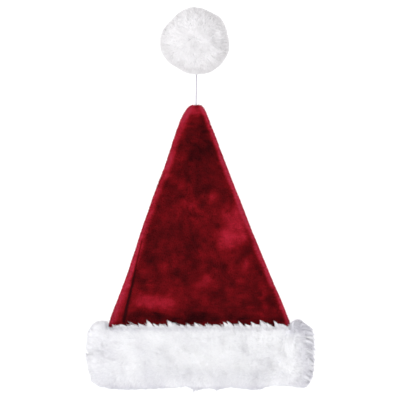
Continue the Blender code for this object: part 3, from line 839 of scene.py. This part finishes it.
def cuff_comb(points, normals):
    """Which way the fur of the cuff is brushed: up to the left, out at its ends and down at its hem."""
    x, y = points[:, :1], points[:, 1:2]
    top, hem = ease(*TOP_RISE, y) * ease(*TOP_END, x), ease(*HEM_SPAN, y)
    right, left = ease(*RIGHT_SPAN, x), ease(*LEFT_SPAN, x)
    scale, strength = CUFF_SWIRL
    brushed = swirls(points, scale) * strength * (1 - CUFF_CALM * top) + CUFF_BRUSH
    brushed += top * TOP_BRUSH + right * RIGHT_BRUSH
    brushed += left * LEFT_BRUSH + hem * HEM_BRUSH
    return along(brushed, normals)


def pompom_fall(points):
    """The pull on the pompom's fur: out and down from its top, in soft swirls."""
    fall = (points - (*POMPOM_MIDDLE, POMPOM_HEIGHT)) / POMPOM_RADIUS * (1, 1, 0) + POMPOM_DRIFT
    scale, strength = POMPOM_SWIRL
    return fall + swirls(points, scale) * strength


def pompom_comb(points, normals):
    """Which way the pompom's fur lies."""
    return along(pompom_fall(points), normals)


def partings(pull, normals):
    """1 where the fur parts, as nothing pulls it along the surface there, and 0 away from such places."""
    flat = pull - normals * (pull * normals).sum(axis=1, keepdims=True)
    return ease(*PARTING_PULL, np.linalg.norm(flat, axis=1))


def greyer(places, shades):
    """How much greyer the fur is painted at each place, as painted shade."""
    return sum(depth * ease(start, end, places[:, axis]) for axis, start, end, depth in shades)


def grow_fur(mesh, share, shade, comb, past, pile, rng):
    """Strands of fur in clumps over the mesh, kept to the outline: their lines, facings and tones, which
    shade, a painted shade, shifts from place to place."""
    points, normals = vertex_values(mesh), vertex_values(mesh, "normal")

    def stand(roots, ups):
        return unit(ups * (1 - pile.lean) + comb(roots, ups) * pile.lean)

    middles = scattered(mesh, pile.clumps, share, rng)
    centre, up = at(points, middles), unit(at(normals, middles))
    aim = stand(centre, up)
    reach = pile.length * rng.uniform(*CLUMP_LENGTHS, (pile.clumps, 1))
    strict = rng.uniform(*CLUMP_TRIM, (pile.clumps, 1))
    for _ in range(2):
        over = past(centre + aim * reach)[:, None]
        reach = np.maximum(reach - strict * over, SHORTEST * pile.length)
    point = centre + aim * reach
    tree = kdtree.KDTree(pile.clumps)
    for i, spot in enumerate(centre):
        tree.insert(Vector(spot), i)
    tree.balance()

    places = scattered(mesh, pile.strands, share, rng)
    root, out = at(points, places), unit(at(normals, places))
    own = np.array([tree.find(Vector(spot))[1] for spot in root])
    aim = stand(root, out)
    long = reach[own] * rng.uniform(*STRAND_LENGTHS, (pile.strands, 1))
    astray = unit(aim + rng.normal(0, pile.stray, root.shape))
    over = past(root + astray * long)[:, None]
    long = np.maximum(long - over * rng.uniform(*STRAND_TRIM, over.shape), SHORTEST * pile.length)
    free = root + astray * long
    hold = pile.cling * rng.uniform(*STRAND_HOLD, (pile.strands, 1))
    tip = free * (1 - hold) + (point[own] + rng.normal(0, TIP_SCATTER, root.shape)) * hold
    bend = root + aim * long * STRAND_BEND + out * long * pile.lift
    bend += rng.normal(0, BEND_SCATTER, root.shape)
    soft = np.array([noise.noise(Vector(spot) * FUR_MOTTLE[0]) for spot in root])
    tone = FUR_TONE + FUR_MOTTLE[1] * soft + at(shade, places) + rng.normal(0, TONE_STRAY, pile.strands)
    lines = bent(root - out * STRAND_ROOT, bend, tip, STRAND_ROWS)
    return lines, out + rng.normal(0, STRAND_TURN, root.shape), tone


def bent(root, bend, tip, rows):
    """The points of curves from root to tip by way of bend, none below the floor."""
    t = np.linspace(0, 1, rows)[None, :, None]
    lines = (1 - t) ** 2 * root[:, None] + 2 * t * (1 - t) * bend[:, None] + t * t * tip[:, None]
    lines[..., 2] = np.maximum(lines[..., 2], FUR_GAP)
    return lines


def height_over(surfaces, x, y):
    """How high the highest of the surfaces stands at a place, seen from above."""
    hits = [tree.ray_cast(Vector((x, y, 0.5)), Vector((0, 0, -1)))[0] for tree in surfaces]
    return max(hit.z if hit else 0.0 for hit in hits)


def locks(surfaces, rows, rng):
    """Separate pointed locks: rows holds each one's foot, the place it bends at, its point, how high the
    point is, how many strands it has, how wide it stands and its tone. Gives lines, facings and tones."""
    roots, bends, tips, tones = [], [], [], []
    for foot, bend, tip, height, count, spread, tone in rows:
        own = rng.normal(tone, LOCK_TONE_STRAY)
        level = height_over(surfaces, *foot)
        for _ in range(count):
            start = foot + rng.normal(0, spread, 2)
            end = tip + rng.normal(0, LOCK_POINT * spread, 2)
            end -= (end - start) * rng.uniform(0, LOCK_SHORT[0]) ** LOCK_SHORT[1]
            ground = height_over(surfaces, *start)
            roots.append((*start, (ground if ground > level - LOCK_DROP else level) - LOCK_ROOT))
            part = np.linalg.norm(end - start) / np.linalg.norm(tip - foot)
            tips.append((*end, roots[-1][2] + (height - roots[-1][2]) * part))
            middle = start + (bend - foot) * part + rng.normal(0, LOCK_WAVER, 2)
            bends.append((*middle, max(roots[-1][2], tips[-1][2]) + LOCK_ARCH))
            tones.append(own + rng.normal(0, LOCK_TONE_STRAY))
    facing = np.array([0, 0, 1.0]) + rng.normal(0, LOCK_TURN, (len(roots), 3))
    return bent(np.array(roots), np.array(bends), np.array(tips), LOCK_ROWS), facing, np.array(tones)


def cuff_locks(pad, rng):
    """The locks that show one by one: along the cuff's upper edge, brushed up to the left over the plush,
    round its right end and over its hem."""
    surfaces = []
    for mesh in (pad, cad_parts["crown"].data):
        bm = bmesh.new()
        bm.from_mesh(mesh)
        surfaces.append(BVHTree.FromBMesh(bm))
        bm.free()
    plush = surfaces[1:]
    rows = []
    for x, y in TUFTS:
        flat = ease(*TUFT_LEFT, x)
        tip, foot = np.array([x, y]), np.array([x + TUFT_SLANT[0] + TUFT_SLANT[1] * flat, TUFT_FOOT])
        bend = (foot + tip) / 2 + (TUFT_BEND[0] - TUFT_BEND[1] * flat, TUFT_BEND[2])
        height = height_over(plush, *tip) + TUFT_LIFT
        count, spread = int(rng.uniform(*TUFT_STRANDS)), rng.uniform(*TUFT_SPREAD)
        rows.append((foot, bend, tip, height, count, spread, LOCK_TONE))
    for x in rng.uniform(*TUFT_ROW, FRINGE_LOCKS):
        reach = FRINGE_REACH[0] + rng.exponential(FRINGE_REACH[1])
        foot = np.array([x, FRINGE_FOOT + rng.normal(0, FRINGE_STRAY)])
        lean = (reach + FRINGE_SLANT[0]) * rng.uniform(*FRINGE_SLANT[1:])
        tip = np.array([x - lean, FRINGE_EDGE + reach])
        bend = (foot + tip) / 2 + FRINGE_BEND
        height = height_over(plush, *tip) + TUFT_LIFT
        rows.append((foot, bend, tip, height, FRINGE_STRANDS, FRINGE_SPREAD, LOCK_TONE))
    for fall, group in ((END_FALL, END_LOCKS), (HEM_FALL, HEM_LOCKS)):
        for x, y, past_x, past_y in group:
            foot, tip = np.array([x, y]), np.array([past_x, past_y])
            bend = (foot + tip) / 2 + (END_BEND[0] * (x > RIGHT_END), END_BEND[1])
            height = height_over(surfaces, *foot) * fall
            rows.append((foot, bend, tip, height, LOCK_STRANDS, rng.uniform(*LOCK_SPREAD), END_PAINTED_SHADE_TONE))
    return locks(surfaces, rows, rng)


def make_cuff():
    """The band's knitted ground, the matted foot of its fur, the fur in three pieces, and its locks."""
    rng = np.random.default_rng(CUFF_SEED)
    backing = soft_copy("cuff_backing", subdivided(2))
    knit = jersey("white_jersey", "#dcdcdf", "#b9b9be", 0.0015)
    finished("cuff_ground", backing, [knit], "knit", "cuff_backing")
    pad = soft_copy("cuff_fur", melted(CUFF_SINK))
    drawn_to_outline(pad)
    normals, points = vertex_values(pad, "normal"), vertex_values(pad)
    clear = clear_view(pad, ["crown", "cuff_backing"], THROAT)
    share = clear * np.where((normals[:, 2] < -0.3) & (points[:, 2] < UNDER_LEVEL), UNDER_SHARE, 1.0)
    x, y = points[:, 0], points[:, 1]
    # Painted shade: the fur greyer towards its ends, its left side, its hem and its upper edge
    shade = -greyer(points, CUFF_PAINTED_SHADE) - TOP_PAINTED_SHADE * ease(*TOP_PAINTED_SHADE_RISE, y) * ease(*TOP_PAINTED_SHADE_START, x)
    fibre = acrylic_fur("acrylic_fur", FIBRE_COLOURS)
    near, far = ZONE_EDGES
    zones = {
        "cuff_fur_left": ease(-near, -far, x),
        "cuff_fur_middle": ease(-far, -near, x) * ease(far, near, x),
        "cuff_fur_right": ease(near, far, x),
    }
    for name, zone in zones.items():
        lines, facing, tone = grow_fur(pad, share * zone, shade, cuff_comb, past_cuff, CUFF_PILE, rng)
        finished(name, ribbons(name, lines, facing, FUR_WIDTH, tone), [fibre], "fur", "cuff_fur")
    lines, facing, tone = cuff_locks(pad, rng)
    tufts = ribbons("cuff_fur_tufts", lines, facing, TUFT_WIDTH, tone)
    finished("cuff_fur_tufts", tufts, [fibre], "fur", "cuff_fur")
    # Its matted foot is given greyer colours as painted shade where it shows between the strands
    finished("cuff_fur_foot", pad, [shade_painted_matted_fur("shade_painted_matted_fur", "#d2d2d7", "#c8c8ce")], "fur", "cuff_fur")


def make_pompom():
    """The pompom: a matted ball with soft fur all round."""
    rng = np.random.default_rng(POMPOM_SEED)
    middle = Vector((*POMPOM_MIDDLE, POMPOM_HEIGHT))
    bm = bmesh.new()
    bmesh.ops.create_icosphere(bm, subdivisions=POMPOM_DETAIL, radius=1)
    for vert in bm.verts:
        away = vert.co.copy()
        turn = math.degrees(math.atan2(away.y, away.x))
        level = math.hypot(away.x, away.y) ** 2
        outline = 1 + (np.interp(turn, *zip(*POMPOM_LUMPS), period=360) - 1) * level
        lumps = POMPOM_LUMP_DEPTH * noise.noise(away * POMPOM_LUMP_WAVES)
        vert.co = middle + away * (POMPOM_RADIUS * outline - POMPOM_INSET + lumps)
        vert.co.z = max(vert.co.z, POMPOM_GAP)
    ball = bpy.data.meshes.new("pompom_foot")
    bm.to_mesh(ball)
    bm.free()
    ball.shade_smooth()
    points = vertex_values(ball)
    share = np.where(points[:, 2] < POMPOM_UNDER_LEVEL, POMPOM_UNDER_SHARE, 1.0)
    share = share * (1 + PARTING_FILL * partings(pompom_fall(points), vertex_values(ball, "normal")))
    away = points - middle
    # Painted shade: the fur greyer to the right, at the top and round the rim
    start, end, depth = POMPOM_RIM_PAINTED_SHADE
    rim = depth * ease(start, end, np.hypot(away[:, 0], away[:, 1]) / POMPOM_RADIUS)
    shade = -greyer(away, POMPOM_PAINTED_SHADE) - rim
    lines, facing, tone = grow_fur(ball, share, shade, pompom_comb, past_pompom, POMPOM_PILE, rng)
    fur = ribbons("pompom_fur", lines, facing, FUR_WIDTH, tone)
    finished("pompom_fur", fur, [acrylic_fur("acrylic_pompom", POMPOM_COLOURS)], "pompom_fur", "pompom")
    # Its matted ball is given greyer colours as painted shade where it shows between the strands
    felt = shade_painted_matted_fur("shade_painted_matted_pompom", "#c4c3c5", "#b8b7b9")
    finished("pompom_foot", ball, [felt], "pompom_fur", "pompom")


def cord_line():
    """The cord's centreline: a smooth curve through its route, with a point every CORD_STEP."""
    route = np.array(CORD_ROUTE) + np.array(EYE)
    ends = np.concatenate([[2 * route[0] - route[1]], route, [2 * route[-1] - route[-2]]])
    points = []
    for a, b, c, d in zip(ends, ends[1:], ends[2:], ends[3:]):
        steps = max(2, round(np.linalg.norm(c - b) / CORD_STEP))
        for t in np.arange(steps) / steps:
            points.append(0.5 * (2 * b + (c - a) * t + (2 * a - 5 * b + 4 * c - d) * t ** 2
                                 + (3 * b - a - 3 * c + d) * t ** 3))
    return np.array(points + [route[-1]])


def make_cord():
    """The cord: plies twisted round its centreline, and the knot inside the tip."""
    line = cord_line()
    run = np.concatenate([[0], np.cumsum(np.linalg.norm(np.diff(line, axis=0), axis=1))])
    ahead = unit(np.gradient(line, axis=0))
    up = unit(np.cross(ahead, [1.0, 0.0, 0.0]))
    aside = np.cross(up, ahead)
    ply = CORD_DIAMETER / 2 / (1 + 1 / math.sin(math.pi / CORD_PLIES)) * PLY_SWELL
    offset = CORD_DIAMETER / 2 - ply
    curve = bpy.data.curves.new("cord_plies", "CURVE")
    curve.dimensions = "3D"
    curve.bevel_depth = ply
    curve.bevel_resolution = 2
    curve.use_fill_caps = True
    for number in range(CORD_PLIES):
        turn = (2 * math.pi * (run / CORD_TWIST + number / CORD_PLIES))[:, None]
        helix = line + offset * (np.cos(turn) * up + np.sin(turn) * aside)
        spline = curve.splines.new("POLY")
        spline.points.add(len(helix) - 1)
        spline.points.foreach_set("co", np.column_stack([helix, np.ones(len(helix))]).ravel())
    plies = bpy.data.objects.new("cord_plies", curve)
    bpy.context.scene.collection.objects.link(plies)
    mesh = bpy.data.meshes.new_from_object(plies.evaluated_get(bpy.context.evaluated_depsgraph_get()))
    bpy.data.objects.remove(plies)
    mesh.shade_smooth()
    yarn = twisted_yarn()
    cord = finished("cord", mesh, [yarn], "cord", "pompom_cord")
    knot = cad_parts["cord_knot"]
    knot.data.materials.clear()
    knot.data.materials.append(yarn)


make_camera()
make_stage()
make_cord()
make_crown()
make_cuff()
make_pompom()
